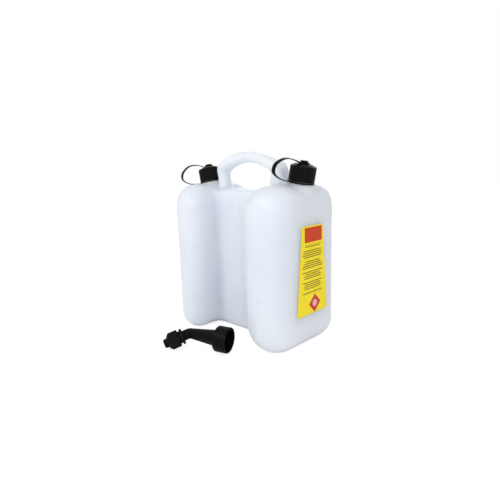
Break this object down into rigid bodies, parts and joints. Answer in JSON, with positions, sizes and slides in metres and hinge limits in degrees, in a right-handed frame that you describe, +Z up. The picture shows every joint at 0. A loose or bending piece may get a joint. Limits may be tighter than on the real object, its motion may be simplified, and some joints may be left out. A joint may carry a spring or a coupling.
{
  "type": "combination fuel can",
  "caption": "Twin-tank plastic fuel can with arched grip, tethered screw caps, end label and loose bent pouring spout.",
  "frame": {"origin": "on the floor, under the middle of the can's length and depth", "axes": "+Z up, +X from the small tank to the large one, -Y the side on which the spout lies"},
  "size_m": [0.3173, 0.2724, 0.3425],
  "materials": {
    "natural_hdpe": "satin",
    "black_plastic": "satin",
    "black_rubber": "matte",
    "label_film": "satin"
  },
  "bodies": {
    "can": {"can_body": "natural_hdpe", "label": "label_film", "small_tank_strap": "black_plastic", "large_tank_strap": "black_plastic", "spout_tube": "black_plastic", "spout_gasket": "black_rubber", "spout_tip": "black_plastic"},
    "small_lift": {"small_tank_gasket": "black_rubber"},
    "small_cap": {"small_tank_cap": "black_plastic"},
    "large_lift": {"large_tank_gasket": "black_rubber"},
    "large_cap": {"large_tank_cap": "black_plastic"},
    "spout_twist": {"spout_ring": "black_plastic"}
  },
  "joints": [
    {"name": "small_cap_rise", "type": "slide", "parent": "can", "child": "small_lift", "axis": [-0.2079, 0, 0.9781], "range_m": [0, 0.021], "deforming": ["small_tank_strap"]},
    {"name": "small_cap_turn", "type": "hinge", "parent": "small_lift", "child": "small_cap", "pos_m": [-0.114, 0, 0.286], "axis": [-0.2079, 0, 0.9781], "range_deg": [0, 1080]},
    {"name": "large_cap_rise", "type": "slide", "parent": "can", "child": "large_lift", "axis": [0.2079, 0, 0.9781], "range_m": [0, 0.021], "deforming": ["large_tank_strap"]},
    {"name": "large_cap_turn", "type": "hinge", "parent": "large_lift", "child": "large_cap", "pos_m": [0.114, 0, 0.286], "axis": [0.2079, 0, 0.9781], "range_deg": [0, 1080]},
    {"name": "spout_ring_turn", "type": "hinge", "parent": "can", "child": "spout_twist", "pos_m": [-0.031, -0.1385, 0.0257], "axis": [-0.4737, -0.8274, -0.3018], "range_deg": [0, 90]}
  ],
  "couplings": [
    {"joint": "small_cap_rise", "follows": "small_cap_turn", "m_per_rad": 0.0011141},
    {"joint": "large_cap_rise", "follows": "large_cap_turn", "m_per_rad": 0.0011141}
  ]
}
